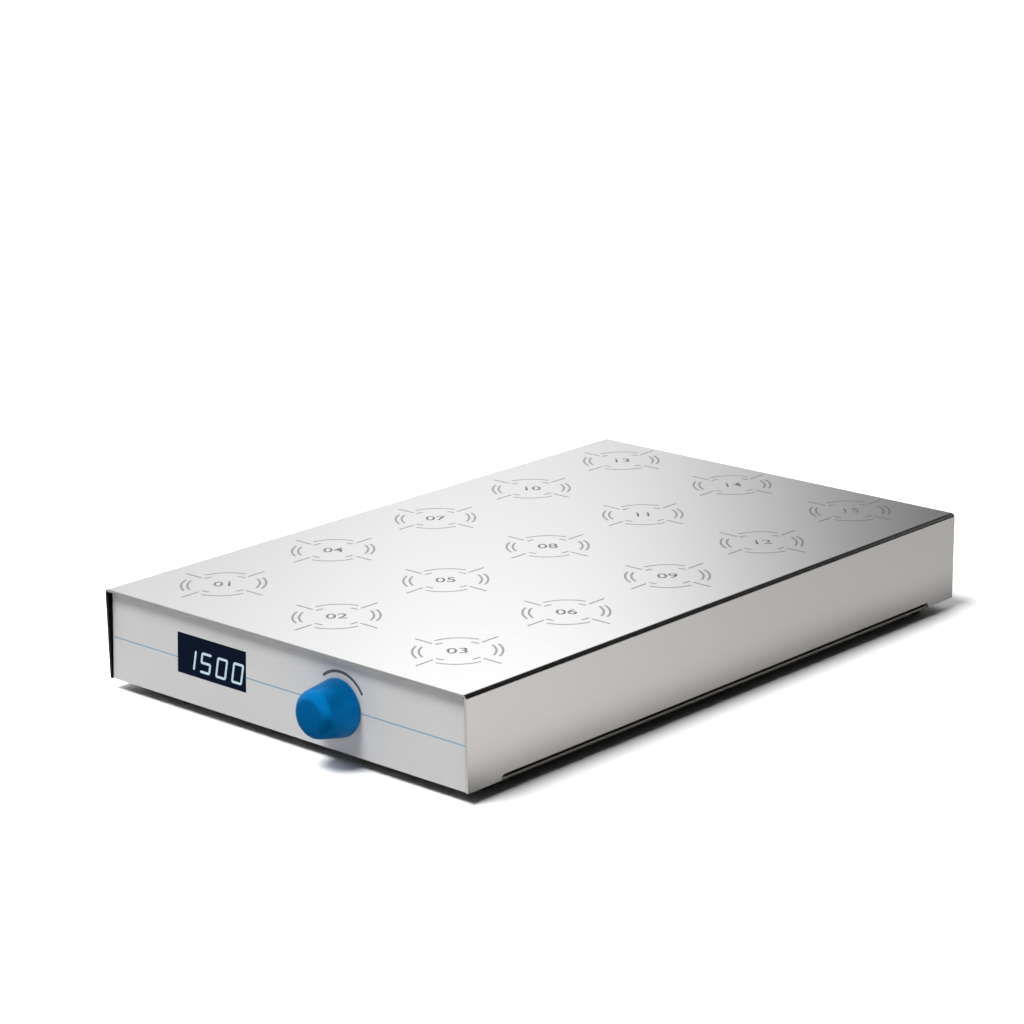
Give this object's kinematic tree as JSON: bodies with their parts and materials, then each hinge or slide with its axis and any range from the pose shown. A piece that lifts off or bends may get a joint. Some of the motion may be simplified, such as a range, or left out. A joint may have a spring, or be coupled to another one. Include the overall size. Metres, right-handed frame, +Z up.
{
  "type": "multi-position magnetic stirrer",
  "caption": "Flat stainless bench stirrer with a grid of magnetic stirring positions on its top, and a digital speed display and a speed knob on its leaning front panel.",
  "frame": {"origin": "on the bench, under the middle of the whole part, knob and switch included", "axes": "+X right as seen from the front, -Y towards the front panel, +Z up"},
  "size_m": [0.276, 0.4491, 0.0589],
  "materials": {
    "stainless": "brushed",
    "tray_steel": "satin",
    "zinc_steel": "satin",
    "panel_silver": "satin",
    "plate_aluminium": "mill",
    "dark_lens": "clear gloss",
    "black_plastic": "moulded",
    "board_green": "satin",
    "spacer_brass": "turned",
    "knob_blue": "satin gloss",
    "motor_black": "satin",
    "yoke_steel": "mill",
    "magnet_nickel": "plated",
    "foot_rubber": "matt"
  },
  "bodies": {
    "case": {"top_cover": "stainless", "cover_brackets": "zinc_steel", "base_tray": "tray_steel", "front_fascia": "panel_silver", "display_window": "dark_lens", "display_module": "black_plastic", "display_board": "board_green", "display_spacers": "spacer_brass", "pot_body": "zinc_steel", "pot_nut": "zinc_steel", "control_board": "board_green", "board_parts": "black_plastic", "board_spacers": "spacer_brass", "motor_plate": "plate_aluminium", "plate_pillars": "zinc_steel", "plate_bolts": "zinc_steel", "stir_motors": "motor_black", "power_jack": "black_plastic", "jack_nut": "zinc_steel", "jack_pin": "spacer_brass", "switch_body": "black_plastic", "feet": "foot_rubber", "foot_studs": "zinc_steel"},
    "knob": {"speed_knob": "knob_blue", "pot_shaft": "zinc_steel"},
    "rocker": {"switch_rocker": "black_plastic"},
    "rotor_01": {"stir_rotor_01": "yoke_steel", "stir_magnets_01": "magnet_nickel"},
    "rotor_02": {"stir_rotor_02": "yoke_steel", "stir_magnets_02": "magnet_nickel"},
    "rotor_03": {"stir_rotor_03": "yoke_steel", "stir_magnets_03": "magnet_nickel"},
    "rotor_04": {"stir_rotor_04": "yoke_steel", "stir_magnets_04": "magnet_nickel"},
    "rotor_05": {"stir_rotor_05": "yoke_steel", "stir_magnets_05": "magnet_nickel"},
    "rotor_06": {"stir_rotor_06": "yoke_steel", "stir_magnets_06": "magnet_nickel"},
    "rotor_07": {"stir_rotor_07": "yoke_steel", "stir_magnets_07": "magnet_nickel"},
    "rotor_08": {"stir_rotor_08": "yoke_steel", "stir_magnets_08": "magnet_nickel"},
    "rotor_09": {"stir_rotor_09": "yoke_steel", "stir_magnets_09": "magnet_nickel"},
    "rotor_10": {"stir_rotor_10": "yoke_steel", "stir_magnets_10": "magnet_nickel"},
    "rotor_11": {"stir_rotor_11": "yoke_steel", "stir_magnets_11": "magnet_nickel"},
    "rotor_12": {"stir_rotor_12": "yoke_steel", "stir_magnets_12": "magnet_nickel"},
    "rotor_13": {"stir_rotor_13": "yoke_steel", "stir_magnets_13": "magnet_nickel"},
    "rotor_14": {"stir_rotor_14": "yoke_steel", "stir_magnets_14": "magnet_nickel"},
    "rotor_15": {"stir_rotor_15": "yoke_steel", "stir_magnets_15": "magnet_nickel"}
  },
  "joints": [
    {"name": "knob_turn", "type": "hinge", "parent": "case", "child": "knob", "pos_m": [0.0447, -0.20064, 0.03067], "axis": [0, -0.9985, 0.0541], "range_deg": [0, 270]},
    {"name": "rocker_tilt", "type": "hinge", "parent": "case", "child": "rocker", "pos_m": [-0.0484, 0.21825, 0.034], "axis": [1, 0, 0], "range_deg": [-24, 0]},
    {"name": "spin_01", "type": "hinge", "parent": "case", "child": "rotor_01", "pos_m": [-0.0934, -0.15475, 0.0449], "axis": [0, 0, 1], "continuous": true},
    {"name": "spin_02", "type": "hinge", "parent": "case", "child": "rotor_02", "pos_m": [-0.0034, -0.15475, 0.0449], "axis": [0, 0, 1], "continuous": true},
    {"name": "spin_03", "type": "hinge", "parent": "case", "child": "rotor_03", "pos_m": [0.0866, -0.15475, 0.0449], "axis": [0, 0, 1], "continuous": true},
    {"name": "spin_04", "type": "hinge", "parent": "case", "child": "rotor_04", "pos_m": [-0.0934, -0.06975, 0.0449], "axis": [0, 0, 1], "continuous": true},
    {"name": "spin_05", "type": "hinge", "parent": "case", "child": "rotor_05", "pos_m": [-0.0034, -0.06975, 0.0449], "axis": [0, 0, 1], "continuous": true},
    {"name": "spin_06", "type": "hinge", "parent": "case", "child": "rotor_06", "pos_m": [0.0866, -0.06975, 0.0449], "axis": [0, 0, 1], "continuous": true},
    {"name": "spin_07", "type": "hinge", "parent": "case", "child": "rotor_07", "pos_m": [-0.0934, 0.01525, 0.0449], "axis": [0, 0, 1], "continuous": true},
    {"name": "spin_08", "type": "hinge", "parent": "case", "child": "rotor_08", "pos_m": [-0.0034, 0.01525, 0.0449], "axis": [0, 0, 1], "continuous": true},
    {"name": "spin_09", "type": "hinge", "parent": "case", "child": "rotor_09", "pos_m": [0.0866, 0.01525, 0.0449], "axis": [0, 0, 1], "continuous": true},
    {"name": "spin_10", "type": "hinge", "parent": "case", "child": "rotor_10", "pos_m": [-0.0934, 0.10025, 0.0449], "axis": [0, 0, 1], "continuous": true},
    {"name": "spin_11", "type": "hinge", "parent": "case", "child": "rotor_11", "pos_m": [-0.0034, 0.10025, 0.0449], "axis": [0, 0, 1], "continuous": true},
    {"name": "spin_12", "type": "hinge", "parent": "case", "child": "rotor_12", "pos_m": [0.0866, 0.10025, 0.0449], "axis": [0, 0, 1], "continuous": true},
    {"name": "spin_13", "type": "hinge", "parent": "case", "child": "rotor_13", "pos_m": [-0.0934, 0.18525, 0.0449], "axis": [0, 0, 1], "continuous": true},
    {"name": "spin_14", "type": "hinge", "parent": "case", "child": "rotor_14", "pos_m": [-0.0034, 0.18525, 0.0449], "axis": [0, 0, 1], "continuous": true},
    {"name": "spin_15", "type": "hinge", "parent": "case", "child": "rotor_15", "pos_m": [0.0866, 0.18525, 0.0449], "axis": [0, 0, 1], "continuous": true}
  ],
  "couplings": [
    {"joint": "spin_02", "follows": "spin_01", "ratio": 1},
    {"joint": "spin_03", "follows": "spin_01", "ratio": 1},
    {"joint": "spin_04", "follows": "spin_01", "ratio": 1},
    {"joint": "spin_05", "follows": "spin_01", "ratio": 1},
    {"joint": "spin_06", "follows": "spin_01", "ratio": 1},
    {"joint": "spin_07", "follows": "spin_01", "ratio": 1},
    {"joint": "spin_08", "follows": "spin_01", "ratio": 1},
    {"joint": "spin_09", "follows": "spin_01", "ratio": 1},
    {"joint": "spin_10", "follows": "spin_01", "ratio": 1},
    {"joint": "spin_11", "follows": "spin_01", "ratio": 1},
    {"joint": "spin_12", "follows": "spin_01", "ratio": 1},
    {"joint": "spin_13", "follows": "spin_01", "ratio": 1},
    {"joint": "spin_14", "follows": "spin_01", "ratio": 1},
    {"joint": "spin_15", "follows": "spin_01", "ratio": 1}
  ]
}
